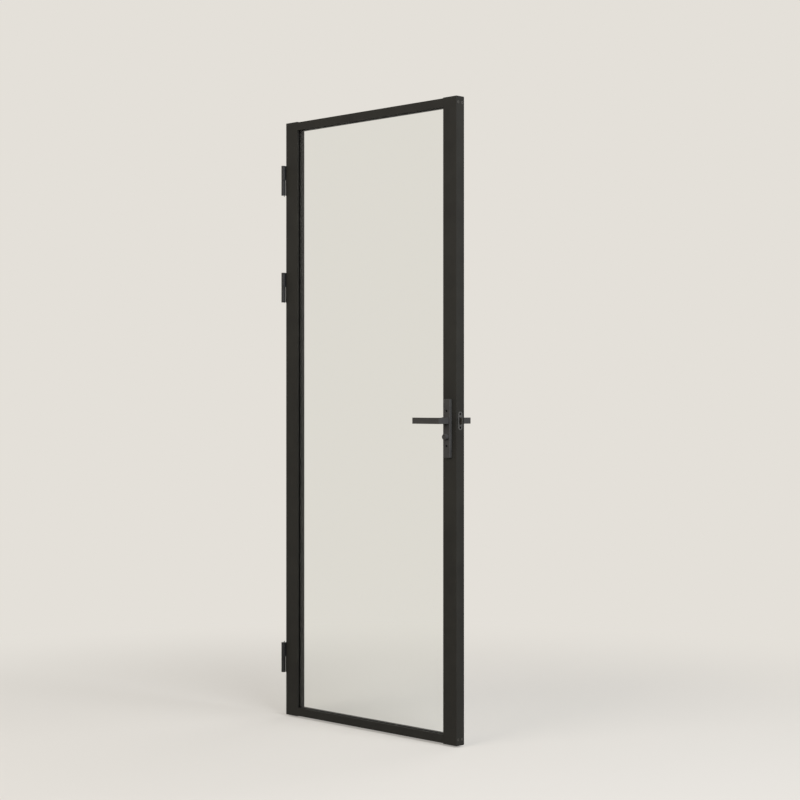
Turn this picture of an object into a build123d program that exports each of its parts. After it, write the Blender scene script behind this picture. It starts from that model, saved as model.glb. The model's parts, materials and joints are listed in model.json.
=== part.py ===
from build123d import *
from math import cos, radians, sin, tan
import os

# A framed glass door leaf that stands open on three lift-off hinges.
# A slim hollow aluminium frame holds one pane in a rubber gasket. The free
# stile carries a lever handle set, a privacy turn and a bevelled latch.
# All lengths are millimetres. X runs along the wall, Y runs into the wall and
# Z is up. The origin is the middle of the lower wall hinge's screw holes, on
# the face of its plate that lies against the side of the opening.

# Leaf
opening_angle = 45.0
leaf_width = 826.0
leaf_height = 2090.0
leaf_thickness = 36.0

# Frame sections
stile_width = 59.0
rail_height = 28.0
frame_wall = 2.2
corner_radius = 0.6
cap_thickness = 2.0
cap_plug_depth = 10.0
cap_plug_wall = 2.0
cap_clearance = 0.2

# Glazing, which sits nearer to the front of the frame than to its back
glass_thickness = 6.0
glass_arris = 0.6
glass_forward = 7.0
gasket_side = 1.0
gasket_base = 2.0
gasket_stand = 1.2
gasket_chamfer = 0.6
groove_depth = 12.0
rail_groove_depth = 7.0

# Seal strip let into the free stile's back corner
seal_width = 3.5
seal_depth = 2.0

# Screws that hold the rails between the stiles
corner_screw_inset = 8.5
corner_screw_rise = 19.5
corner_screw_radius = 2.0
corner_screw_length = 84.0
corner_head_radius = 4.4
port_wall = 1.2
port_rib = 1.6

# Heads, sockets and clearances of all screws
screw_play = 0.1
hole_play = 0.2
head_play = 0.1
sink_angle = 90.0
hex_share = 0.55
hex_depth = 1.4

# Lift-off hinges
hinge_height = 105.0
hinge_end_distance = 150.0
middle_hinge_drop = 378.0
knuckle_radius = 7.5
knuckle_chamfer = 0.8
knuckle_play = 0.5
pin_radius = 4.0
pin_clearance = 0.05
pin_engagement = 38.0
pin_chamfer = 1.0
washer_thickness = 1.5
washer_play = 0.1
washer_inset = 0.4
hinge_plate = 2.5
hinge_plate_gap = 0.5
plate_reach = 38.0
plate_corner = 4.0
plate_screw_back = 23.0
plate_screw_across = 14.0
plate_screw_rise = 76.0
plate_hole_radius = 2.6
plate_sink_radius = 4.25
hinge_screw_length = 12.0
backing_thickness = 5.0
backing_width = 28.0
backing_height = 100.0

# Handle plates
handle_backset = 34.5
handle_plate_width = 28.0
handle_plate_height = 190.0
handle_plate_thickness = 10.0
handle_plate_corner = 3.0
handle_plate_chamfer = 1.2
handle_bolt_spacing = 113.0
handle_bolt_radius = 2.5
handle_head_radius = 4.2
handle_head_sunk = 2.5
handle_bolt_grip = 6.0

# Levers
lever_axis_height = 1045.0
lever_above_middle = 25.0
lever_turn = 45.0
lever_bar_height = 20.0
lever_bar_thickness = 10.0
lever_length = 120.0
lever_overhang = 11.2
lever_neck_width = 22.0
lever_reach = 57.0
lever_gap = 0.4
lever_round = 1.0
lever_stub_radius = 9.0
running_clearance = 0.05
stub_end_gap = 0.5
spindle_side = 8.0
spindle_socket_depth = 25.0
spindle_end_gap = 0.5
spindle_play = 0.1
grub_radius = 2.5
grub_distance = 9.0
grub_recess = 0.4

# Privacy turn and its coin release
turn_below_lever = 52.0
turn_radius = 9.5
turn_proud = 12.0
turn_round = 1.2
turn_ring_radius = 6.4
turn_ring_width = 0.8
turn_ring_depth = 0.6
release_proud = 3.0
release_slot_length = 11.0
release_slot_width = 1.8
release_slot_depth = 1.5
release_chamfer = 0.6
release_socket_depth = 9.0
turn_stub_radius = 6.0
turn_spindle_side = 5.0
turn_socket_depth = 14.0

# Latch
latch_throw = 10.5
latch_width = 10.0
latch_height = 22.0
latch_nose = 2.5
latch_slide_play = 0.2
faceplate_width = 20.0
faceplate_height = 60.0
faceplate_proud = 0.5
faceplate_gap = 0.25
faceplate_screw_spacing = 43.8
faceplate_screw_radius = 2.0
faceplate_head_radius = 4.2
faceplate_head_sunk = 0.3
faceplate_screw_length = 9.0
bracket_thickness = 3.0
bracket_front = 14.0
bracket_height = 84.0
case_wall = 1.7
case_rear_gap = 0.4
follower_radius = 7.4
follower_arm_half = 1.6
follower_arm_thickness = 4.0
follower_gap = 0.4
tail_thickness = 2.4
tail_lug_width = 2.4
tail_root = 3.0

# Sizes that follow from the ones above
stile_length = leaf_height - 2 * cap_thickness
rail_length = leaf_width - 2 * stile_width
groove_width = glass_thickness + 2 * gasket_side
glass_inset = stile_width - groove_depth + gasket_base
rail_groove_bottom = cap_thickness + rail_height - rail_groove_depth
glass_lift = rail_groove_bottom + gasket_base
glass_width = leaf_width - 2 * glass_inset
glass_height = leaf_height - 2 * glass_lift
half_leaf = leaf_thickness / 2
corner_screw_across = half_leaf - corner_screw_inset
wall_drill_depth = 2 * frame_wall
edge_to_pivot = 2 * hinge_plate + hinge_plate_gap
face_to_pivot = knuckle_radius
hinge_screws_forward = half_leaf + face_to_pivot - plate_screw_back
pivot_y = -plate_screw_back
lower_hinge_rise = hinge_end_distance + hinge_height / 2
leaf_bottom = -lower_hinge_rise
knuckle_height = (hinge_height - washer_thickness) / 2
knuckle_clear = knuckle_radius + knuckle_play
upper_hinge_z = leaf_height - 2 * lower_hinge_rise
hinge_levels = {
    "lower": 0.0,
    "middle": upper_hinge_z - middle_hinge_drop,
    "upper": upper_hinge_z,
}
handle_along = leaf_width - handle_backset
handle_plate_middle = lever_axis_height - lever_above_middle
turn_axis_height = lever_axis_height - turn_below_lever
turn_above_middle = lever_above_middle - turn_below_lever
lever_hole_radius = lever_stub_radius + running_clearance
turn_hole_radius = turn_stub_radius + running_clearance
head_foot = handle_plate_thickness + lever_gap
half_turn = radians(lever_turn / 2)
follower_reach = latch_throw / (2 * sin(half_turn))
case_inner_half = follower_reach + follower_arm_half + follower_gap
case_width = latch_width + 2 * (latch_slide_play + case_wall)
case_height = 2 * (case_inner_half + case_wall)

# Reference planes. On leaf_plan local X runs along the leaf from the hinge
# edge, local Y runs through the leaf from front to back and Z is up.
swing = Location((0, pivot_y, leaf_bottom), (0, 0, -opening_angle))
leaf_plan = Plane(swing * Location((edge_to_pivot, face_to_pivot + half_leaf, 0)))
along_leaf = leaf_plan.x_dir
through_leaf = leaf_plan.y_dir
upwards = leaf_plan.z_dir


def leaf_plane(along, through, height, x_dir, z_dir):
    """A plane placed by its distances along, through and up the leaf."""
    origin = leaf_plan.from_local_coords((along, through, height))
    return Plane(origin=origin, x_dir=x_dir, z_dir=z_dir)


def plan_at(along, through, height):
    """A level plane, for outlines seen from above."""
    return leaf_plane(along, through, height, along_leaf, upwards)


def front_view(along, through, height):
    """An upright plane that faces out of the front of the leaf."""
    return leaf_plane(along, through, height, along_leaf, -through_leaf)


def back_view(along, through, height):
    """An upright plane that faces out of the back of the leaf."""
    return leaf_plane(along, through, height, -along_leaf, through_leaf)


def hinge_edge(height, inwards=0.0):
    """An upright plane that faces out of the hinge edge."""
    return leaf_plane(inwards, 0, height, -through_leaf, -along_leaf)


def free_edge(height, inwards=0.0):
    """An upright plane that faces out of the free edge."""
    return leaf_plane(leaf_width - inwards, 0, height, through_leaf, along_leaf)


def save(piece, name):
    """Label a finished piece and write it to its own file."""
    piece.part.label = name
    export_step(piece.part, f"parts/{name}.step")


def countersunk_screw(place, head_radius, shank_radius, length):
    """A screw whose flat head lies in the plane given, with a hexagon socket."""
    head_depth = (head_radius - shank_radius) / tan(radians(sink_angle / 2))
    with Locations(place):
        Cylinder(shank_radius, length, align=(Align.CENTER, Align.CENTER, Align.MAX))
        Cone(
            shank_radius,
            head_radius,
            head_depth,
            align=(Align.CENTER, Align.CENTER, Align.MAX),
        )
    with BuildSketch(place) as socket:
        RegularPolygon(head_radius * hex_share, 6)
    extrude(socket.sketch, amount=-hex_depth, mode=Mode.SUBTRACT)


os.makedirs("parts", exist_ok=True)

# Stiles: hollow upright sections with a glazing groove in the inner side. On
# their planes local X runs in from the outer edge and local Y to the back.
stile_planes = {
    "hinge": leaf_plane(0, 0, cap_thickness, along_leaf, upwards),
    "lock": leaf_plane(leaf_width, 0, leaf_height - cap_thickness, -along_leaf, -upwards),
}


def stile_section(plane, rebated):
    """The hollow stile section, with a rebate for the seal where it has one."""
    with BuildSketch(plane) as section:
        with Locations((stile_width / 2, 0)):
            Rectangle(stile_width, leaf_thickness)
        with Locations((stile_width - groove_depth / 2, -glass_forward)):
            Rectangle(groove_depth, groove_width, mode=Mode.SUBTRACT)
        if rebated:
            with Locations((seal_depth / 2, (leaf_thickness - seal_width) / 2)):
                Rectangle(seal_depth, seal_width, mode=Mode.SUBTRACT)
        offset(amount=-frame_wall, kind=Kind.INTERSECTION, mode=Mode.SUBTRACT)
        faces_of_leaf = section.vertices().group_by(Axis.Y)
        fillet(faces_of_leaf[0] + faces_of_leaf[-1], radius=corner_radius)
    return section.sketch


def corner_places(edge_plane_at):
    """The two screw places near each end of an edge."""
    places = []
    for rise in (corner_screw_rise, leaf_height - corner_screw_rise):
        for across in (-corner_screw_across, corner_screw_across):
            places.append(edge_plane_at(rise).location * Location((across, 0, 0)))
    return places


with BuildPart() as hinge_stile:
    extrude(stile_section(stile_planes["hinge"], rebated=False), amount=stile_length)
    with Locations(*corner_places(hinge_edge)):
        CounterSinkHole(
            corner_screw_radius + hole_play,
            corner_head_radius + head_play,
            depth=stile_width,
            counter_sink_angle=sink_angle,
        )
    for level in hinge_levels.values():
        with Locations(hinge_edge(lower_hinge_rise + level)):
            with Locations((hinge_screws_forward, 0)):
                with GridLocations(plate_screw_across, plate_screw_rise, 2, 2):
                    Hole(plate_hole_radius, depth=wall_drill_depth)
save(hinge_stile, "hinge_stile")

with BuildPart() as lock_stile:
    extrude(stile_section(stile_planes["lock"], rebated=True), amount=stile_length)
    with Locations(*corner_places(free_edge)):
        CounterSinkHole(
            corner_screw_radius + hole_play,
            corner_head_radius + head_play,
            depth=stile_width,
            counter_sink_angle=sink_angle,
        )
    with BuildSketch(free_edge(lever_axis_height)):
        SlotOverall(
            faceplate_height + 2 * faceplate_gap,
            faceplate_width + 2 * faceplate_gap,
            rotation=90,
        )
    extrude(amount=-frame_wall, mode=Mode.SUBTRACT)
    with Locations(front_view(handle_along, -half_leaf, lever_axis_height)):
        Hole(lever_hole_radius + hole_play, depth=leaf_thickness)
    with Locations(front_view(handle_along, -half_leaf, turn_axis_height)):
        Hole(turn_hole_radius + hole_play, depth=leaf_thickness)
    with Locations(front_view(handle_along, -half_leaf, handle_plate_middle)):
        with GridLocations(0, handle_bolt_spacing, 1, 2):
            Hole(handle_bolt_radius + hole_play, depth=leaf_thickness)
save(lock_stile, "lock_stile")

# Rails: hollow sections with a shallower groove and two round screw ports,
# each on a rib from the outer wall. Local X runs to the back of the leaf.
rail_planes = {
    "bottom_rail": leaf_plane(stile_width, 0, cap_thickness, through_leaf, along_leaf),
    "top_rail": leaf_plane(
        leaf_width - stile_width,
        0,
        leaf_height - cap_thickness,
        through_leaf,
        -along_leaf,
    ),
}
port_rise = corner_screw_rise - cap_thickness
port_radius = corner_screw_radius + screw_play
for name, plane in rail_planes.items():
    with BuildPart() as rail:
        with BuildSketch(plane) as rail_section:
            with Locations((0, rail_height / 2)):
                Rectangle(leaf_thickness, rail_height)
            with Locations((-glass_forward, rail_height - rail_groove_depth / 2)):
                Rectangle(groove_width, rail_groove_depth, mode=Mode.SUBTRACT)
            offset(amount=-frame_wall, kind=Kind.INTERSECTION, mode=Mode.SUBTRACT)
            levels = rail_section.vertices().group_by(Axis.Y)
            fillet(levels[0] + levels[-1], radius=corner_radius)
            with Locations((0, port_rise)):
                with GridLocations(2 * corner_screw_across, 0, 2, 1):
                    Circle(port_radius + port_wall)
                with GridLocations(corner_screw_across + half_leaf, 0, 2, 1):
                    Rectangle(corner_screw_inset, port_rib)
                with GridLocations(2 * corner_screw_across, 0, 2, 1):
                    Circle(port_radius, mode=Mode.SUBTRACT)
        extrude(amount=rail_length)
    save(rail, name)

# Moulded caps that close the ends of the stiles, each with a hollow plug.
cap_planes = {
    "hinge_stile_bottom_cap": leaf_plane(0, 0, 0, along_leaf, upwards),
    "hinge_stile_top_cap": leaf_plane(0, 0, leaf_height, along_leaf, -upwards),
    "lock_stile_bottom_cap": leaf_plane(leaf_width, 0, 0, -along_leaf, upwards),
    "lock_stile_top_cap": leaf_plane(leaf_width, 0, leaf_height, -along_leaf, -upwards),
}
plug_start = frame_wall + seal_depth + cap_clearance
plug_end = stile_width - groove_depth - frame_wall - cap_clearance
plug_width = leaf_thickness - 2 * (frame_wall + cap_clearance)
for name, plane in cap_planes.items():
    with BuildPart() as cap:
        with BuildSketch(plane):
            with Locations((stile_width / 2, 0)):
                RectangleRounded(stile_width, leaf_thickness, corner_radius)
        extrude(amount=cap_thickness)
        with BuildSketch(plane.offset(cap_thickness)):
            with Locations(((plug_start + plug_end) / 2, 0)):
                Rectangle(plug_end - plug_start, plug_width)
                Rectangle(
                    plug_end - plug_start - 2 * cap_plug_wall,
                    plug_width - 2 * cap_plug_wall,
                    mode=Mode.SUBTRACT,
                )
        extrude(amount=cap_plug_depth)
    save(cap, name)

# Long screws through the stiles into the rails' screw ports.
with BuildPart() as corner_screws:
    for place in corner_places(hinge_edge) + corner_places(free_edge):
        countersunk_screw(
            Plane(place), corner_head_radius, corner_screw_radius, corner_screw_length
        )
save(corner_screws, "corner_screws")

# The pane, with its edges ground to a small arris.
with BuildPart() as glass_pane:
    with BuildSketch(front_view(leaf_width / 2, -glass_forward, leaf_height / 2)):
        Rectangle(glass_width, glass_height)
    extrude(amount=glass_thickness / 2, both=True)
    chamfer(glass_pane.edges(), length=glass_arris)
save(glass_pane, "glass_pane")

# Channel gaskets: the side strips run full height, the others fit between.
side_strip = glass_height + 2 * gasket_base
cross_strip = rail_length - 2 * gasket_stand
cross_start = stile_width + gasket_stand
side_start = stile_width - groove_depth
gasket_runs = {
    "hinge_side_gasket": (
        leaf_plane(side_start, -glass_forward, rail_groove_bottom, -through_leaf, upwards),
        side_strip,
        groove_depth,
    ),
    "lock_side_gasket": (
        leaf_plane(
            leaf_width - side_start,
            -glass_forward,
            rail_groove_bottom,
            through_leaf,
            upwards,
        ),
        side_strip,
        groove_depth,
    ),
    "bottom_gasket": (
        leaf_plane(
            cross_start, -glass_forward, rail_groove_bottom, through_leaf, along_leaf
        ),
        cross_strip,
        rail_groove_depth,
    ),
    "top_gasket": (
        leaf_plane(
            cross_start,
            -glass_forward,
            leaf_height - rail_groove_bottom,
            -through_leaf,
            along_leaf,
        ),
        cross_strip,
        rail_groove_depth,
    ),
}
for name, (plane, length, depth) in gasket_runs.items():
    gasket_height = depth + gasket_stand
    with BuildPart() as gasket:
        with BuildSketch(plane) as gasket_section:
            with Locations((0, gasket_height / 2)):
                Rectangle(groove_width, gasket_height)
            chamfer(gasket_section.vertices().group_by(Axis.Y)[-1], length=gasket_chamfer)
            with Locations((0, (gasket_base + gasket_height) / 2)):
                Rectangle(
                    glass_thickness, gasket_height - gasket_base, mode=Mode.SUBTRACT
                )
        extrude(amount=length)
    save(gasket, name)

# Rubber strip in the rebate along the free stile's back corner.
with BuildPart() as lock_edge_seal:
    with BuildSketch(stile_planes["lock"]):
        with Locations((seal_depth / 2, (leaf_thickness - seal_width) / 2)):
            Rectangle(seal_depth, seal_width)
    extrude(amount=stile_length)
save(lock_edge_seal, "lock_edge_seal")

# Lift-off hinges. The wall half has the lower knuckle and the pin, and the
# door half has the upper knuckle, which drops over the pin onto a washer.


def plate_outline(side, knuckle_end):
    """A hinge plate that runs back from the pivot, notched for the other knuckle."""
    with BuildSketch() as outline:
        with Locations((side * plate_reach / 2, 0)):
            Rectangle(plate_reach, hinge_height)
        far_corners = outline.vertices().sort_by(Axis.X)
        fillet(far_corners[-2:] if side > 0 else far_corners[:2], radius=plate_corner)
        with Locations((side * knuckle_clear / 2, -knuckle_end * knuckle_height / 2)):
            Rectangle(
                knuckle_clear, knuckle_height + washer_thickness, mode=Mode.SUBTRACT
            )
    return outline.sketch


for level_name, level in hinge_levels.items():
    pivot = Location((0, pivot_y, level))
    rise = lower_hinge_rise + level
    foot = Plane(pivot).offset(-hinge_height / 2)
    split = Plane(pivot).offset(washer_thickness / 2)

    # Wall half
    reveal = Plane(origin=pivot.position, x_dir=(0, 1, 0), z_dir=(1, 0, 0))
    with BuildPart() as wall_half:
        with BuildSketch(foot):
            Circle(knuckle_radius)
        extrude(amount=knuckle_height)
        chamfer(wall_half.edges().filter_by(GeomType.CIRCLE), length=knuckle_chamfer)
        with BuildSketch(reveal):
            add(plate_outline(1, -1))
        extrude(amount=hinge_plate)
        with BuildSketch(foot):
            Circle(pin_radius)
        extrude(amount=knuckle_height, mode=Mode.SUBTRACT)
        with Locations(reveal.offset(hinge_plate)):
            with Locations((plate_screw_back, 0)):
                with GridLocations(plate_screw_across, plate_screw_rise, 2, 2):
                    CounterSinkHole(
                        plate_hole_radius,
                        plate_sink_radius,
                        depth=hinge_plate,
                        counter_sink_angle=sink_angle,
                    )
    save(wall_half, f"{level_name}_wall_hinge")

    # Pin, pressed into the wall half
    with BuildPart() as pin:
        with BuildSketch(foot):
            Circle(pin_radius)
        extrude(amount=knuckle_height + washer_thickness + pin_engagement)
        chamfer(pin.faces().sort_by(Axis.Z)[-1].edges(), length=pin_chamfer)
    save(pin, f"{level_name}_hinge_pin")

    # Bearing washer between the knuckles
    with BuildPart() as washer:
        with BuildSketch(foot.offset(knuckle_height)):
            Circle(knuckle_radius - washer_inset)
            Circle(pin_radius + screw_play, mode=Mode.SUBTRACT)
        extrude(amount=washer_thickness - washer_play)
    save(washer, f"{level_name}_hinge_washer")

    # Door half, in the leaf's own directions
    door_plate_plane = leaf_plane(
        0, -half_leaf - face_to_pivot, rise, -through_leaf, -along_leaf
    )
    with BuildPart() as door_half:
        with BuildSketch(split):
            Circle(knuckle_radius)
        extrude(amount=knuckle_height)
        chamfer(door_half.edges().filter_by(GeomType.CIRCLE), length=knuckle_chamfer)
        with BuildSketch(door_plate_plane):
            add(plate_outline(-1, 1))
        extrude(amount=hinge_plate)
        with BuildSketch(split):
            Circle(pin_radius + pin_clearance)
        extrude(amount=pin_engagement + pin_chamfer, mode=Mode.SUBTRACT)
        with Locations(door_plate_plane.offset(hinge_plate)):
            with Locations((-plate_screw_back, 0)):
                with GridLocations(plate_screw_across, plate_screw_rise, 2, 2):
                    CounterSinkHole(
                        plate_hole_radius,
                        plate_sink_radius,
                        depth=hinge_plate,
                        counter_sink_angle=sink_angle,
                    )
    save(door_half, f"{level_name}_door_hinge")

    # Screws of the door half
    with BuildPart() as hinge_screws:
        screw_centre = door_plate_plane.offset(hinge_plate).location * Location(
            (-plate_screw_back, 0, 0)
        )
        for spot in GridLocations(plate_screw_across, plate_screw_rise, 2, 2):
            countersunk_screw(
                Plane(screw_centre * spot),
                plate_sink_radius - head_play,
                plate_hole_radius - screw_play,
                hinge_screw_length,
            )
    save(hinge_screws, f"{level_name}_hinge_screws")

    # Threaded plate inside the hollow stile
    with BuildPart() as backing:
        with BuildSketch(hinge_edge(rise, frame_wall)):
            RectangleRounded(backing_width, backing_height, plate_corner)
            with Locations((hinge_screws_forward, 0)):
                with GridLocations(plate_screw_across, plate_screw_rise, 2, 2):
                    Circle(plate_hole_radius, mode=Mode.SUBTRACT)
        extrude(amount=-backing_thickness)
    save(backing, f"{level_name}_hinge_backing")

# Handle plates on both faces, joined through the stile by two bolts.
bolt_sink_radius = handle_head_radius + head_play


def handle_plate(plane):
    """The long plate with its rounded corners, bevelled rim and two bearings."""
    with BuildSketch(plane) as outline:
        RectangleRounded(handle_plate_width, handle_plate_height, handle_plate_corner)
        with Locations((0, lever_above_middle)):
            Circle(lever_hole_radius, mode=Mode.SUBTRACT)
        with Locations((0, turn_above_middle)):
            Circle(turn_hole_radius, mode=Mode.SUBTRACT)
    extrude(outline.sketch, amount=handle_plate_thickness)


front_plate_plane = front_view(handle_along, -half_leaf, handle_plate_middle)
back_plate_plane = back_view(handle_along, half_leaf, handle_plate_middle)
bolt_head_level = handle_plate_thickness - handle_head_sunk
bolt_head_plane = front_plate_plane.offset(bolt_head_level)
with BuildPart() as front_plate:
    handle_plate(front_plate_plane)
    rim = front_plate.faces().sort_by(Axis(front_plate_plane.origin, -through_leaf))[-1]
    chamfer(rim.outer_wire().edges(), length=handle_plate_chamfer)
    with Locations(bolt_head_plane):
        with GridLocations(0, handle_bolt_spacing, 1, 2):
            CounterSinkHole(
                handle_bolt_radius + hole_play,
                bolt_sink_radius,
                depth=handle_plate_thickness,
                counter_sink_angle=sink_angle,
            )
save(front_plate, "front_handle_plate")

with BuildPart() as back_plate:
    handle_plate(back_plate_plane)
    rim = back_plate.faces().sort_by(Axis(back_plate_plane.origin, through_leaf))[-1]
    chamfer(rim.outer_wire().edges(), length=handle_plate_chamfer)
    with BuildSketch(back_plate_plane):
        with GridLocations(0, handle_bolt_spacing, 1, 2):
            Circle(handle_bolt_radius + screw_play)
    extrude(amount=handle_bolt_grip + stub_end_gap, mode=Mode.SUBTRACT)
save(back_plate, "back_handle_plate")

with BuildPart() as handle_bolts:
    for spot in GridLocations(0, handle_bolt_spacing, 1, 2):
        countersunk_screw(
            Plane(bolt_head_plane.location * spot),
            handle_head_radius,
            handle_bolt_radius,
            bolt_head_level + leaf_thickness + handle_bolt_grip,
        )
save(handle_bolts, "handle_plate_bolts")

# Levers: a flat bar turned back into a square neck, on a round bearing stub.
neck_left = lever_overhang - lever_neck_width
arm_tip = lever_overhang - lever_length
arm_inside = lever_reach - lever_bar_thickness
grub_level = head_foot + grub_distance
socket_side = spindle_side + 2 * spindle_play


def lever(outward, view):
    """One lever. Outward is the sense of local Y in plan that leaves the leaf."""
    plan = plan_at(handle_along, outward * half_leaf, lever_axis_height)
    hub = view(handle_along, outward * half_leaf, lever_axis_height)
    with BuildPart() as bar:
        with BuildSketch(plan):
            with BuildLine():
                Polyline(
                    (neck_left, outward * head_foot),
                    (lever_overhang, outward * head_foot),
                    (lever_overhang, outward * lever_reach),
                    (arm_tip, outward * lever_reach),
                    (arm_tip, outward * arm_inside),
                    (neck_left, outward * arm_inside),
                    close=True,
                )
            make_face()
        extrude(amount=lever_bar_height / 2, both=True)
        fillet(bar.edges(), radius=lever_round)
        with BuildSketch(hub.offset(stub_end_gap)):
            Circle(lever_stub_radius)
        extrude(amount=head_foot + lever_round - stub_end_gap)
        with BuildSketch(hub.offset(stub_end_gap)):
            Rectangle(socket_side, socket_side)
        extrude(amount=spindle_socket_depth, mode=Mode.SUBTRACT)
        with BuildSketch(plan.offset(-lever_bar_height / 2)):
            with Locations((0, outward * grub_level)):
                Circle(grub_radius + screw_play)
        extrude(amount=lever_bar_height / 2, mode=Mode.SUBTRACT)
    return bar


front_lever = lever(-1, front_view)
save(front_lever, "front_lever")
back_lever = lever(1, back_view)
save(back_lever, "back_lever")

with BuildPart() as lever_spindle:
    with BuildSketch(front_view(handle_along, 0, lever_axis_height)):
        Rectangle(spindle_side, spindle_side)
    spindle_reach = half_leaf + stub_end_gap + spindle_socket_depth - spindle_end_gap
    extrude(amount=spindle_reach, both=True)
save(lever_spindle, "lever_spindle")

with BuildPart() as grub_screws:
    for outward in (-1, 1):
        underside = lever_axis_height - lever_bar_height / 2 + grub_recess
        place = plan_at(handle_along, outward * (half_leaf + grub_level), underside)
        with BuildSketch(place):
            Circle(grub_radius)
        extrude(amount=(lever_bar_height - spindle_side) / 2 - grub_recess)
        with BuildSketch(place):
            RegularPolygon(grub_radius * hex_share, 6)
        extrude(amount=hex_depth, mode=Mode.SUBTRACT)
save(grub_screws, "lever_grub_screws")

# Round turn on the front, coin release on the back, and their square bar.
turn_socket_side = turn_spindle_side + 2 * spindle_play


def turn_head(hub, proud):
    """The round head that stands proud of the handle plate."""
    with BuildSketch(hub.offset(head_foot)) as head:
        Circle(turn_radius)
    extrude(head.sketch, amount=proud - lever_gap)


def turn_stub(hub, socket_depth):
    """The bearing stub behind the head, with a square socket in its end."""
    with BuildSketch(hub.offset(stub_end_gap)) as stub:
        Circle(turn_stub_radius)
    extrude(stub.sketch, amount=head_foot - stub_end_gap)
    with BuildSketch(hub.offset(stub_end_gap)) as socket:
        Rectangle(turn_socket_side, turn_socket_side)
    extrude(socket.sketch, amount=socket_depth, mode=Mode.SUBTRACT)


front_turn_plane = front_view(handle_along, -half_leaf, turn_axis_height)
back_turn_plane = back_view(handle_along, half_leaf, turn_axis_height)
with BuildPart() as turn_knob:
    turn_head(front_turn_plane, turn_proud)
    rims = turn_knob.edges().sort_by(Axis(front_turn_plane.origin, -through_leaf))
    fillet(rims[-1], radius=turn_round)
    turn_stub(front_turn_plane, turn_socket_depth)
    with BuildSketch(front_turn_plane.offset(handle_plate_thickness + turn_proud)):
        Circle(turn_ring_radius)
        Circle(turn_ring_radius - turn_ring_width, mode=Mode.SUBTRACT)
    extrude(amount=-turn_ring_depth, mode=Mode.SUBTRACT)
save(turn_knob, "turn_knob")

with BuildPart() as coin_release:
    turn_head(back_turn_plane, release_proud)
    rims = coin_release.edges().sort_by(Axis(back_turn_plane.origin, through_leaf))
    chamfer(rims[-1], length=release_chamfer)
    turn_stub(back_turn_plane, release_socket_depth)
    with BuildSketch(back_turn_plane.offset(handle_plate_thickness + release_proud)):
        Rectangle(release_slot_length, release_slot_width)
    extrude(amount=-release_slot_depth, mode=Mode.SUBTRACT)
save(coin_release, "coin_release")

with BuildPart() as turn_spindle:
    front_end = half_leaf + stub_end_gap + turn_socket_depth - spindle_end_gap
    back_end = half_leaf + stub_end_gap + release_socket_depth - spindle_end_gap
    with BuildSketch(front_view(handle_along, back_end, turn_axis_height)):
        Rectangle(turn_spindle_side, turn_spindle_side)
    extrude(amount=front_end + back_end)
save(turn_spindle, "turn_spindle")

# Latch: faceplate in the free edge, bracket and case in the hollow stile.
edge_at_lever = free_edge(lever_axis_height)
faceplate_thickness = frame_wall + faceplate_proud
faceplate_head_plane = edge_at_lever.offset(faceplate_proud - faceplate_head_sunk)
with BuildPart() as faceplate:
    with BuildSketch(free_edge(lever_axis_height, frame_wall)):
        SlotOverall(faceplate_height, faceplate_width, rotation=90)
        Rectangle(
            latch_width + 2 * latch_slide_play,
            latch_height + 2 * latch_slide_play,
            mode=Mode.SUBTRACT,
        )
    extrude(amount=faceplate_thickness)
    with Locations(faceplate_head_plane):
        with GridLocations(0, faceplate_screw_spacing, 1, 2):
            CounterSinkHole(
                faceplate_screw_radius + screw_play,
                faceplate_head_radius + head_play,
                depth=faceplate_thickness,
                counter_sink_angle=sink_angle,
            )
save(faceplate, "latch_faceplate")

with BuildPart() as faceplate_screws:
    for spot in GridLocations(0, faceplate_screw_spacing, 1, 2):
        countersunk_screw(
            Plane(faceplate_head_plane.location * spot),
            faceplate_head_radius,
            faceplate_screw_radius,
            faceplate_screw_length,
        )
save(faceplate_screws, "faceplate_screws")

behind_edge = free_edge(lever_axis_height, frame_wall)
bracket_back = half_leaf - seal_width - frame_wall - cap_clearance
with BuildPart() as bracket:
    with BuildSketch(behind_edge):
        with Locations(((bracket_back - bracket_front) / 2, 0)):
            Rectangle(bracket_front + bracket_back, bracket_height)
        Rectangle(
            case_width + 2 * latch_slide_play,
            case_height + 2 * latch_slide_play,
            mode=Mode.SUBTRACT,
        )
        with GridLocations(0, faceplate_screw_spacing, 1, 2):
            Circle(faceplate_screw_radius + screw_play, mode=Mode.SUBTRACT)
    extrude(amount=-bracket_thickness)
save(bracket, "latch_bracket")

case_length = stile_width - groove_depth - 2 * frame_wall - case_rear_gap
middle = front_view(handle_along, 0, lever_axis_height)
with BuildPart() as case:
    with BuildSketch(behind_edge):
        Rectangle(case_width, case_height)
        Rectangle(case_width - 2 * case_wall, case_height - 2 * case_wall, mode=Mode.SUBTRACT)
    extrude(amount=-case_length)
    with BuildSketch(middle):
        Circle(follower_radius + running_clearance)
    extrude(amount=case_width, both=True, mode=Mode.SUBTRACT)
save(case, "latch_case")

# Follower: a hub on the lever's square bar, with an arm that draws the bolt.
lean = lever_turn / 2
with BuildPart() as follower:
    with BuildSketch(middle):
        Circle(follower_radius)
    extrude(amount=case_width / 2, both=True)
    with BuildSketch(middle):
        with Locations(Location((0, 0, 0), (0, 0, -lean))):
            Rectangle(
                2 * follower_arm_half, follower_reach, align=(Align.CENTER, Align.MIN)
            )
            with Locations((0, follower_reach)):
                Circle(follower_arm_half)
    extrude(amount=follower_arm_thickness / 2, both=True)
    with BuildSketch(middle):
        Rectangle(socket_side, socket_side)
    extrude(amount=case_width, both=True, mode=Mode.SUBTRACT)
save(follower, "latch_follower")

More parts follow.
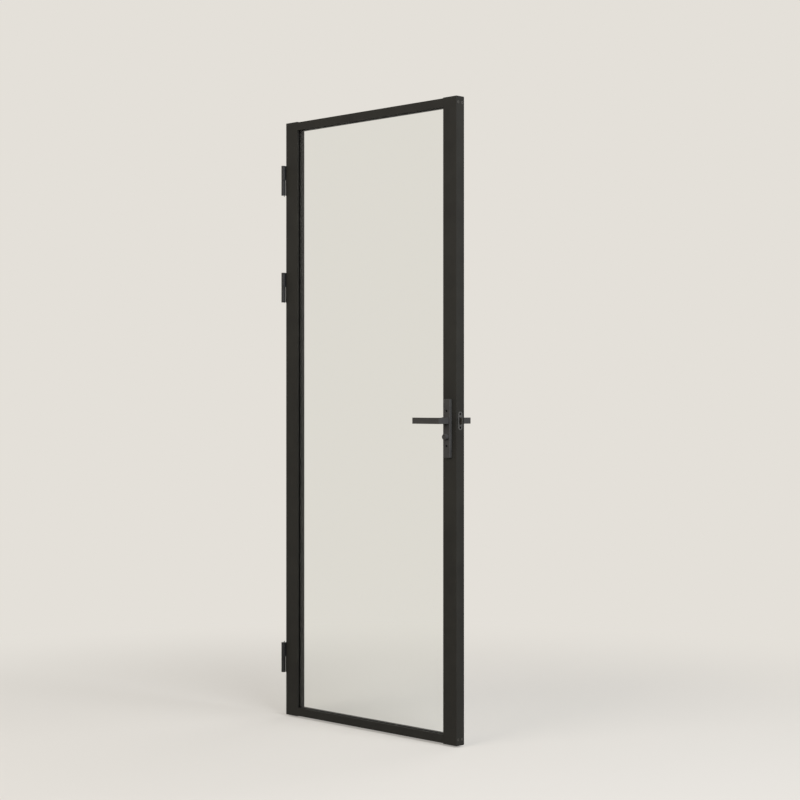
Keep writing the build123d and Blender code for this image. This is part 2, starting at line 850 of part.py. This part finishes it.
# Bolt: a bevelled head, and a tail strip whose lug stands in the arm's way.
bolt_tip = handle_backset + faceplate_proud + latch_throw
bolt_rear = follower_radius + follower_gap + latch_throw
bolt_flank = latch_width / 2
lug_face = latch_throw / 2 - follower_arm_half - follower_gap
tail_top = case_inner_half - latch_slide_play
tail_bottom = follower_radius + follower_gap
tail_back = follower_arm_thickness / 2 + follower_gap
with BuildPart() as bolt:
    with BuildSketch(plan_at(handle_along, 0, lever_axis_height)):
        with BuildLine():
            Polyline(
                (bolt_rear, -bolt_flank),
                (bolt_tip, -bolt_flank),
                (bolt_tip, latch_nose - bolt_flank),
                (bolt_tip - latch_throw, bolt_flank),
                (bolt_rear, bolt_flank),
                close=True,
            )
        make_face()
    extrude(amount=latch_height / 2, both=True)
    with BuildSketch(middle.offset(tail_back)):
        with Locations((lug_face - tail_lug_width, tail_bottom)):
            Rectangle(
                bolt_rear + tail_root - lug_face + tail_lug_width,
                tail_top - tail_bottom,
                align=(Align.MIN, Align.MIN),
            )
    extrude(amount=tail_thickness)
    with BuildSketch(middle.offset(tail_back + tail_thickness)):
        with Locations((lug_face, tail_top)):
            Rectangle(
                tail_lug_width,
                tail_top - follower_reach * cos(half_turn),
                align=(Align.MAX, Align.MAX),
            )
    extrude(amount=-2 * (tail_back + tail_thickness))
save(bolt, "latch_bolt")
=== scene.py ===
import json
from math import radians

import bpy
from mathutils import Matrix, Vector


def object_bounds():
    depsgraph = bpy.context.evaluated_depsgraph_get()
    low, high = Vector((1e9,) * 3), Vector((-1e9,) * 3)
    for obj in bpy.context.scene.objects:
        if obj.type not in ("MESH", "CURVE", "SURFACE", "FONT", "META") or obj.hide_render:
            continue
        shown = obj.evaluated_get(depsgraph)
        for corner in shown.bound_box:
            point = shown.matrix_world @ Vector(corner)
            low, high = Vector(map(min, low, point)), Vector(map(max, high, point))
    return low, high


# A framed glass door leaf, standing open on its three lift-off hinges.
# Every solid is kept as it is and gets its finish here. Lengths are metres
# unless a name ends in mm.

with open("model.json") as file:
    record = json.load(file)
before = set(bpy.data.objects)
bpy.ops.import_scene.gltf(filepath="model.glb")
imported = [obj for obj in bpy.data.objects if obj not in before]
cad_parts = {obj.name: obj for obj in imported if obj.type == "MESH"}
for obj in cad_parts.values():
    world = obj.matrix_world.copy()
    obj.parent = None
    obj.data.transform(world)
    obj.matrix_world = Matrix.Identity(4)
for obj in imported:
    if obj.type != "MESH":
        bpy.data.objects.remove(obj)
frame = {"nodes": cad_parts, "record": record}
cad_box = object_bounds()
scene = bpy.context.scene

MM = 0.001

# Where the photograph was taken from
CAMERA_PLACE = (0.4122, -6.3136, 0.9095)
CAMERA_LENS = 80
SENSOR_WIDTH = 36

# Colours of the surroundings. The floor bounces less light than it shows, which
# keeps the undersides dark.
BACKGROUND = "E4E0D9"
ROOM_LIGHT = "F3EFE8"
FLOOR_MATT = "D1CEC8"
FLOOR_BOUNCE = "6A665F"
ROOM_STRENGTH = 0.3

# The floor lies a little below the leaf. Part of its look is a glow in the
# background's colour, whose share grows with the distance from below the leaf
# until the floor can't be told from the background.
FLOOR_GAP = 0.006
FLOOR_SIZE = 60
FLOOR_ROUGHNESS = 0.5
UNDER_LEAF = (0.35, -0.35, 0.0)
GLOW_SHARE_NEAR = 0.4
GLOW_GROWS_FROM = 0.9
GLOW_FULL_FROM = 3.0

# The lamps are turned to this point on the leaf
LAMP_AIM = (0.3, -0.3, 0.8)

# Most of a noise lies between these values, which are stretched to a full range
NOISE_RANGE = {"From Min": 0.3, "From Max": 0.7}

# Drawing lines are this many times as long as they are wide
LINE_STRETCH = 25

# The sockets of a Mix node that blends colours. They go by number, because its
# sockets for other kinds of value have the same names.
MIX_SHARE = 0
MIX_FIRST = 6
MIX_SECOND = 7
MIX_RESULT = 2


def linear(hex_colour):
    """The linear colour, with alpha 1, of an sRGB hex value."""
    channels = []
    for start in (0, 2, 4):
        value = int(hex_colour[start : start + 2], 16) / 255
        if value <= 0.04045:
            channels.append(value / 12.92)
        else:
            channels.append(((value + 0.055) / 1.055) ** 2.4)
    return (*channels, 1.0)


def noise_scale(size_mm):
    """The scale of a noise whose blobs are about this large."""
    return 1 / (size_mm * MM)


def node(tree, kind, inputs=None, **settings):
    """Add a shader node with its settings. An input is a value, another node's
    socket, or a node that stands for its first output."""
    added = tree.nodes.new(kind)
    for name, value in settings.items():
        setattr(added, name, value)
    for name, value in (inputs or {}).items():
        if isinstance(value, bpy.types.Node):
            value = value.outputs[0]
        if isinstance(value, bpy.types.NodeSocket):
            tree.links.new(value, added.inputs[name])
        else:
            added.inputs[name].default_value = value
    return added


def new_finish(name):
    """An empty material, its node tree, and the place on the object in metres."""
    finish = bpy.data.materials.new(name)
    finish.use_nodes = True
    tree = finish.node_tree
    tree.nodes.clear()
    place = node(tree, "ShaderNodeTexCoord").outputs["Object"]
    return finish, tree, place


def sees_background(tree):
    """1 for rays that should meet the pale background: straight from the camera,
    mirrored in metal or glass, or through the glass."""
    rays = node(tree, "ShaderNodeLightPath").outputs
    indirect = node(
        tree,
        "ShaderNodeMath",
        {0: rays["Is Glossy Ray"], 1: rays["Is Transmission Ray"]},
        operation="MAXIMUM",
    )
    return node(
        tree,
        "ShaderNodeMath",
        {0: rays["Is Camera Ray"], 1: indirect},
        operation="MAXIMUM",
    )


# Finishes. The grain of a coat is drawn near a millimetre, at or a little above
# its real size, and is too fine and shallow to show in the render. What shows are
# the larger patches.
def powder_coated_aluminium():
    """Fine textured polyester powder on extruded aluminium. The eye gets a soft
    satin sheen, with wide patches that look rubbed smoother by hands."""
    finish, tree, place = new_finish("powder_coated_aluminium")
    grain = node(
        tree,
        "ShaderNodeTexNoise",
        {"Vector": place, "Scale": noise_scale(1.4), "Detail": 3},
    )
    mottle = node(
        tree,
        "ShaderNodeTexNoise",
        {"Vector": place, "Scale": noise_scale(90), "Detail": 3},
    )
    handled = node(
        tree,
        "ShaderNodeTexNoise",
        {"Vector": place, "Scale": noise_scale(220), "Detail": 4, "Roughness": 0.6},
    )
    shade = node(tree, "ShaderNodeMapRange", {"Value": mottle, **NOISE_RANGE})
    colour = node(
        tree,
        "ShaderNodeMix",
        {MIX_SHARE: shade, MIX_FIRST: linear("282724"), MIX_SECOND: linear("2F2E2A")},
        data_type="RGBA",
    )
    satin = node(
        tree,
        "ShaderNodeMapRange",
        {"Value": handled, **NOISE_RANGE, "To Min": 0.5, "To Max": 0.62},
    )
    relief = node(tree, "ShaderNodeBump", {"Height": grain, "Distance": 0.05 * MM, "Strength": 0.5})
    coat = node(
        tree,
        "ShaderNodeBsdfPrincipled",
        {
            "Base Color": colour.outputs[MIX_RESULT],
            "Roughness": satin,
            "Specular IOR Level": 0.12,
            "Normal": relief,
        },
    )
    node(tree, "ShaderNodeOutputMaterial", {"Surface": coat})
    return finish


def satin_black_zinc():
    """Baked satin enamel on die-cast zinc and steel hardware, smoother than the
    powder on the frame, so its edges carry a clearer line of light."""
    finish, tree, place = new_finish("satin_black_zinc")
    grain = node(
        tree,
        "ShaderNodeTexNoise",
        {"Vector": place, "Scale": noise_scale(0.9), "Detail": 2},
    )
    touched = node(
        tree,
        "ShaderNodeTexNoise",
        {"Vector": place, "Scale": noise_scale(35), "Detail": 4, "Roughness": 0.6},
    )
    shade = node(tree, "ShaderNodeMapRange", {"Value": touched, **NOISE_RANGE})
    colour = node(
        tree,
        "ShaderNodeMix",
        {MIX_SHARE: shade, MIX_FIRST: linear("403F3E"), MIX_SECOND: linear("464543")},
        data_type="RGBA",
    )
    satin = node(
        tree,
        "ShaderNodeMapRange",
        {"Value": touched, **NOISE_RANGE, "To Min": 0.36, "To Max": 0.47},
    )
    relief = node(tree, "ShaderNodeBump", {"Height": grain, "Distance": 0.02 * MM, "Strength": 0.5})
    enamel = node(
        tree,
        "ShaderNodeBsdfPrincipled",
        {
            "Base Color": colour.outputs[MIX_RESULT],
            "Roughness": satin,
            "Specular IOR Level": 0.13,
            "Normal": relief,
        },
    )
    node(tree, "ShaderNodeOutputMaterial", {"Surface": enamel})
    return finish


def dark_hinge_enamel_and_painted_shade():
    """Baked enamel on the turned steel hinges, with a narrow line of light down each
    round barrel. Its near-black colour is partly the enamel's own and partly painted
    shade, darker than the handles' coat, for the shade on the hinge edge of the leaf."""
    finish, tree, place = new_finish("dark_hinge_enamel_and_painted_shade")
    grain = node(
        tree,
        "ShaderNodeTexNoise",
        {"Vector": place, "Scale": noise_scale(0.9), "Detail": 2},
    )
    worn = node(
        tree,
        "ShaderNodeTexNoise",
        {"Vector": place, "Scale": noise_scale(14), "Detail": 4, "Roughness": 0.6},
    )
    shade = node(tree, "ShaderNodeMapRange", {"Value": worn, **NOISE_RANGE})
    # Colour: the enamel's own near black, and partly painted shade on the hinges
    colour = node(
        tree,
        "ShaderNodeMix",
        {MIX_SHARE: shade, MIX_FIRST: linear("232323"), MIX_SECOND: linear("2A2A29")},
        data_type="RGBA",
    )
    gloss = node(
        tree,
        "ShaderNodeMapRange",
        {"Value": worn, **NOISE_RANGE, "To Min": 0.32, "To Max": 0.42},
    )
    relief = node(tree, "ShaderNodeBump", {"Height": grain, "Distance": 0.02 * MM, "Strength": 0.5})
    enamel = node(
        tree,
        "ShaderNodeBsdfPrincipled",
        {
            "Base Color": colour.outputs[MIX_RESULT],
            "Roughness": gloss,
            "Specular IOR Level": 0.2,
            "Normal": relief,
        },
    )
    node(tree, "ShaderNodeOutputMaterial", {"Surface": enamel})
    return finish


def toughened_glass():
    """Clear float glass, polished flat and toughened. It takes a little light
    away and mirrors its surroundings at a slant. Its IOR is below the 1.5 of real
    glass, so that the pale surroundings mirrored in it don't veil the dark stile
    behind it."""
    finish, tree, place = new_finish("toughened_glass")
    smear = node(
        tree,
        "ShaderNodeTexNoise",
        {"Vector": place, "Scale": noise_scale(180), "Detail": 5, "Roughness": 0.65},
    )
    polish = node(
        tree,
        "ShaderNodeMapRange",
        {"Value": smear, "From Min": 0.45, "From Max": 0.8, "To Min": 0.0, "To Max": 0.02},
    )
    glass = node(
        tree,
        "ShaderNodeBsdfPrincipled",
        {
            "Base Color": linear("F7F8F6"),
            "Roughness": polish,
            "Transmission Weight": 1.0,
            "IOR": 1.25,
        },
    )
    node(tree, "ShaderNodeOutputMaterial", {"Surface": glass})
    return finish


def black_rubber():
    """Extruded EPDM rubber: dull, nearly black, with a dusty bloom in patches."""
    finish, tree, place = new_finish("black_rubber")
    skin = node(
        tree,
        "ShaderNodeTexNoise",
        {"Vector": place, "Scale": noise_scale(1.0), "Detail": 2},
    )
    bloom = node(
        tree,
        "ShaderNodeTexNoise",
        {"Vector": place, "Scale": noise_scale(25), "Detail": 5, "Roughness": 0.7},
    )
    shade = node(tree, "ShaderNodeMapRange", {"Value": bloom, **NOISE_RANGE})
    colour = node(
        tree,
        "ShaderNodeMix",
        {MIX_SHARE: shade, MIX_FIRST: linear("1C1C1B"), MIX_SECOND: linear("272625")},
        data_type="RGBA",
    )
    dullness = node(
        tree,
        "ShaderNodeMapRange",
        {"Value": bloom, **NOISE_RANGE, "To Min": 0.68, "To Max": 0.85},
    )
    relief = node(tree, "ShaderNodeBump", {"Height": skin, "Distance": 0.03 * MM, "Strength": 0.4})
    rubber = node(
        tree,
        "ShaderNodeBsdfPrincipled",
        {
            "Base Color": colour.outputs[MIX_RESULT],
            "Roughness": dullness,
            "Specular IOR Level": 0.1,
            "Normal": relief,
        },
    )
    node(tree, "ShaderNodeOutputMaterial", {"Surface": rubber})
    return finish


def moulded_nylon():
    """Black injection moulded nylon with a fine spark-eroded skin, a little
    glossier in patches, as if wiped."""
    finish, tree, place = new_finish("moulded_nylon")
    skin = node(
        tree,
        "ShaderNodeTexNoise",
        {"Vector": place, "Scale": noise_scale(0.8), "Detail": 3},
    )
    wiped = node(
        tree,
        "ShaderNodeTexNoise",
        {"Vector": place, "Scale": noise_scale(18), "Detail": 3},
    )
    shade = node(tree, "ShaderNodeMapRange", {"Value": wiped, **NOISE_RANGE})
    colour = node(
        tree,
        "ShaderNodeMix",
        {MIX_SHARE: shade, MIX_FIRST: linear("1F1F1E"), MIX_SECOND: linear("282725")},
        data_type="RGBA",
    )
    gloss = node(
        tree,
        "ShaderNodeMapRange",
        {"Value": wiped, **NOISE_RANGE, "To Min": 0.5, "To Max": 0.62},
    )
    relief = node(tree, "ShaderNodeBump", {"Height": skin, "Distance": 0.04 * MM, "Strength": 0.6})
    nylon = node(
        tree,
        "ShaderNodeBsdfPrincipled",
        {
            "Base Color": colour.outputs[MIX_RESULT],
            "Roughness": gloss,
            "Specular IOR Level": 0.2,
            "Normal": relief,
        },
    )
    node(tree, "ShaderNodeOutputMaterial", {"Surface": nylon})
    return finish


def black_zinc_screw():
    """Black zinc plating on steel screws: a darkened metal that still glints,
    with brighter patches, as a driver rubs them."""
    finish, tree, place = new_finish("black_zinc_screw")
    rubbed = node(
        tree,
        "ShaderNodeTexNoise",
        {"Vector": place, "Scale": noise_scale(3), "Detail": 4, "Roughness": 0.6},
    )
    shade = node(tree, "ShaderNodeMapRange", {"Value": rubbed, **NOISE_RANGE})
    colour = node(
        tree,
        "ShaderNodeMix",
        {MIX_SHARE: shade, MIX_FIRST: linear("4E4D4A"), MIX_SECOND: linear("666561")},
        data_type="RGBA",
    )
    gloss = node(
        tree,
        "ShaderNodeMapRange",
        {"Value": rubbed, **NOISE_RANGE, "To Min": 0.42, "To Max": 0.56},
    )
    plating = node(
        tree,
        "ShaderNodeBsdfPrincipled",
        {"Base Color": colour.outputs[MIX_RESULT], "Metallic": 1.0, "Roughness": gloss},
    )
    node(tree, "ShaderNodeOutputMaterial", {"Surface": plating})
    return finish


def zinc_plated_steel():
    """Bright zinc plate on drawn steel, with faint upright drawing lines and a
    cloudy passivated film over them."""
    finish, tree, place = new_finish("zinc_plated_steel")
    cloud = node(
        tree,
        "ShaderNodeTexNoise",
        {"Vector": place, "Scale": noise_scale(12), "Detail": 4, "Roughness": 0.6},
    )
    drawn_out = node(
        tree,
        "ShaderNodeMapping",
        {"Vector": place, "Scale": (1.0, 1.0, 1 / LINE_STRETCH)},
    )
    lines = node(
        tree,
        "ShaderNodeTexNoise",
        {"Vector": drawn_out, "Scale": noise_scale(0.7), "Detail": 2},
    )
    shade = node(tree, "ShaderNodeMapRange", {"Value": cloud, **NOISE_RANGE})
    colour = node(
        tree,
        "ShaderNodeMix",
        {MIX_SHARE: shade, MIX_FIRST: linear("A9ACB0"), MIX_SECOND: linear("C3C5C6")},
        data_type="RGBA",
    )
    gloss = node(
        tree,
        "ShaderNodeMapRange",
        {"Value": cloud, **NOISE_RANGE, "To Min": 0.28, "To Max": 0.42},
    )
    relief = node(tree, "ShaderNodeBump", {"Height": lines, "Distance": 0.01 * MM, "Strength": 0.6})
    plating = node(
        tree,
        "ShaderNodeBsdfPrincipled",
        {
            "Base Color": colour.outputs[MIX_RESULT],
            "Metallic": 1.0,
            "Roughness": gloss,
            "Normal": relief,
        },
    )
    node(tree, "ShaderNodeOutputMaterial", {"Surface": plating})
    return finish


def black_nickel_and_painted_shade():
    """Black nickel on the sintered latch bolt, smooth and slightly brown, with a worn
    sheen in patches. Its colour is partly the plating's own and partly painted shade,
    darker for the shaded slot around the bolt."""
    finish, tree, place = new_finish("black_nickel_and_painted_shade")
    worn = node(
        tree,
        "ShaderNodeTexNoise",
        {"Vector": place, "Scale": noise_scale(6), "Detail": 4, "Roughness": 0.6},
    )
    shade = node(tree, "ShaderNodeMapRange", {"Value": worn, **NOISE_RANGE})
    # Colour: the plating's own, and partly painted shade of the slot around the bolt
    colour = node(
        tree,
        "ShaderNodeMix",
        {MIX_SHARE: shade, MIX_FIRST: linear("403E39"), MIX_SECOND: linear("514E49")},
        data_type="RGBA",
    )
    gloss = node(
        tree,
        "ShaderNodeMapRange",
        {"Value": worn, **NOISE_RANGE, "To Min": 0.3, "To Max": 0.44},
    )
    nickel = node(
        tree,
        "ShaderNodeBsdfPrincipled",
        {"Base Color": colour.outputs[MIX_RESULT], "Metallic": 1.0, "Roughness": gloss},
    )
    node(tree, "ShaderNodeOutputMaterial", {"Surface": nickel})
    return finish


def grey_enamelled_steel():
    """Satin enamel on the pressed steel faceplate. It is a clear shade lighter
    than the frame, with a trace of wear in patches."""
    finish, tree, place = new_finish("grey_enamelled_steel")
    grain = node(
        tree,
        "ShaderNodeTexNoise",
        {"Vector": place, "Scale": noise_scale(0.8), "Detail": 2},
    )
    worn = node(
        tree,
        "ShaderNodeTexNoise",
        {"Vector": place, "Scale": noise_scale(8), "Detail": 4, "Roughness": 0.6},
    )
    shade = node(tree, "ShaderNodeMapRange", {"Value": worn, **NOISE_RANGE})
    colour = node(
        tree,
        "ShaderNodeMix",
        {MIX_SHARE: shade, MIX_FIRST: linear("4B4A48"), MIX_SECOND: linear("545350")},
        data_type="RGBA",
    )
    satin = node(
        tree,
        "ShaderNodeMapRange",
        {"Value": worn, **NOISE_RANGE, "To Min": 0.38, "To Max": 0.5},
    )
    relief = node(tree, "ShaderNodeBump", {"Height": grain, "Distance": 0.02 * MM, "Strength": 0.5})
    enamel = node(
        tree,
        "ShaderNodeBsdfPrincipled",
        {
            "Base Color": colour.outputs[MIX_RESULT],
            "Roughness": satin,
            "Specular IOR Level": 0.15,
            "Normal": relief,
        },
    )
    node(tree, "ShaderNodeOutputMaterial", {"Surface": enamel})
    return finish


def black_oxide_and_painted_shade():
    """Black oxide on the small screws: a thin dry film, slightly oily in places. Its
    near-black colour is partly the oxide's own and partly painted shade for the sunk
    screw holes."""
    finish, tree, place = new_finish("black_oxide_and_painted_shade")
    oily = node(
        tree,
        "ShaderNodeTexNoise",
        {"Vector": place, "Scale": noise_scale(2.5), "Detail": 4, "Roughness": 0.6},
    )
    shade = node(tree, "ShaderNodeMapRange", {"Value": oily, **NOISE_RANGE})
    # Colour: the oxide's own near black, and partly painted shade of the sunk screw holes
    colour = node(
        tree,
        "ShaderNodeMix",
        {MIX_SHARE: shade, MIX_FIRST: linear("0C0C0C"), MIX_SECOND: linear("131212")},
        data_type="RGBA",
    )
    dullness = node(
        tree,
        "ShaderNodeMapRange",
        {"Value": oily, **NOISE_RANGE, "To Min": 0.42, "To Max": 0.6},
    )
    oxide = node(
        tree,
        "ShaderNodeBsdfPrincipled",
        {
            "Base Color": colour.outputs[MIX_RESULT],
            "Roughness": dullness,
            "Specular IOR Level": 0.08,
        },
    )
    node(tree, "ShaderNodeOutputMaterial", {"Surface": oxide})
    return finish


# Each solid gets the finish of its slot. The two halves of a hinge share the handles'
# slot, but get a darker enamel that is partly painted shade for the hinge edge of the leaf.
finishes = {
    "frame_coat": powder_coated_aluminium(),
    "hardware_coat": satin_black_zinc(),
    "glass": toughened_glass(),
    "seal_rubber": black_rubber(),
    "cap_plastic": moulded_nylon(),
    "faceplate_coat": grey_enamelled_steel(),
    "black_screw": black_zinc_screw(),
    "dark_screw": black_oxide_and_painted_shade(),
    "plain_steel": zinc_plated_steel(),
    "latch_steel": black_nickel_and_painted_shade(),
}
hinge_finish_with_painted_shade = dark_hinge_enamel_and_painted_shade()

for row in frame["record"]["subparts"]:
    solid = frame["nodes"][row["node"]]
    # The hinges get the darker enamel, which is partly painted shade
    is_hinge = row["node"].endswith(("door_hinge", "wall_hinge"))
    solid.data.materials.clear()
    solid.data.materials.append(hinge_finish_with_painted_shade if is_hinge else finishes[row["material_slot"]])

# The camera is level
camera_data = bpy.data.cameras.new("camera")
camera_data.lens = CAMERA_LENS
camera_data.sensor_width = SENSOR_WIDTH
camera = bpy.data.objects.new("camera", camera_data)
camera.location = CAMERA_PLACE
camera.rotation_euler = (radians(90), 0, 0)
scene.collection.objects.link(camera)
scene.camera = camera

# The world gives an even, slightly warm light. Rays that look at it, mirror it
# or come through the glass meet the pale background instead.
world = bpy.data.worlds.new("room")
world.use_nodes = True
scene.world = world
room = world.node_tree
room.nodes.clear()
even_light = node(
    room,
    "ShaderNodeBackground",
    {"Color": linear(ROOM_LIGHT), "Strength": ROOM_STRENGTH},
)
backdrop = node(room, "ShaderNodeBackground", {"Color": linear(BACKGROUND), "Strength": 1.0})
surroundings = node(
    room,
    "ShaderNodeMixShader",
    {0: sees_background(room), 1: even_light, 2: backdrop},
)
node(room, "ShaderNodeOutputWorld", {"Surface": surroundings})


def soft_lamp(name, place, size, watts, colour):
    """A large square lamp, turned to the leaf. It is hidden from rays that come
    through the pane, so that it can't show there as a white patch."""
    data = bpy.data.lights.new(name, "AREA")
    data.shape = "SQUARE"
    data.size = size
    data.energy = watts
    data.color = linear(colour)[:3]
    lamp = bpy.data.objects.new(name, data)
    lamp.visible_transmission = False
    lamp.location = place
    direction = Vector(LAMP_AIM) - Vector(place)
    lamp.rotation_euler = direction.to_track_quat("-Z", "Y").to_euler()
    scene.collection.objects.link(lamp)


# A cool lamp from the front right, a weak warm one from the front left, and a
# plain one for the back of the leaf
soft_lamp("window_light", place=(3.0, -4.1, 3.0), size=4.2, watts=285, colour="F3F7FF")
soft_lamp("room_light", place=(-2.4, -3.0, 2.2), size=2.8, watts=78, colour="FFF8F0")
soft_lamp("back_light", place=(3.2, 3.6, 3.2), size=3.0, watts=120, colour="FFFFFF")

# Pale floor that keeps the door's shadow and fades into the background
floor_level = cad_box[0][2] - FLOOR_GAP
bpy.ops.object.select_all(action="DESELECT")
bpy.ops.mesh.primitive_plane_add(size=FLOOR_SIZE, location=(0, 0, floor_level))
floor = bpy.context.object
floor.name = "floor"
floor_finish, floor_tree, floor_place = new_finish("pale_floor")
distance = node(
    floor_tree,
    "ShaderNodeVectorMath",
    {0: floor_place, 1: UNDER_LEAF},
    operation="DISTANCE",
)
glow_share = node(
    floor_tree,
    "ShaderNodeMapRange",
    {
        "Value": distance.outputs["Value"],
        "From Min": GLOW_GROWS_FROM,
        "From Max": GLOW_FULL_FROM,
        "To Min": GLOW_SHARE_NEAR,
        "To Max": 1.0,
    },
    interpolation_type="SMOOTHSTEP",
)
seen = sees_background(floor_tree)
fade = node(floor_tree, "ShaderNodeMath", {0: seen, 1: glow_share}, operation="MULTIPLY")
matt_colour = node(
    floor_tree,
    "ShaderNodeMix",
    {MIX_SHARE: seen, MIX_FIRST: linear(FLOOR_BOUNCE), MIX_SECOND: linear(FLOOR_MATT)},
    data_type="RGBA",
)
matt = node(
    floor_tree,
    "ShaderNodeBsdfDiffuse",
    {"Color": matt_colour.outputs[MIX_RESULT], "Roughness": FLOOR_ROUGHNESS},
)
glow = node(floor_tree, "ShaderNodeEmission", {"Color": linear(BACKGROUND), "Strength": 1.0})
ground = node(floor_tree, "ShaderNodeMixShader", {0: fade, 1: matt, 2: glow})
node(floor_tree, "ShaderNodeOutputMaterial", {"Surface": ground})
floor.data.materials.append(floor_finish)

scene.view_settings.view_transform = "Standard"
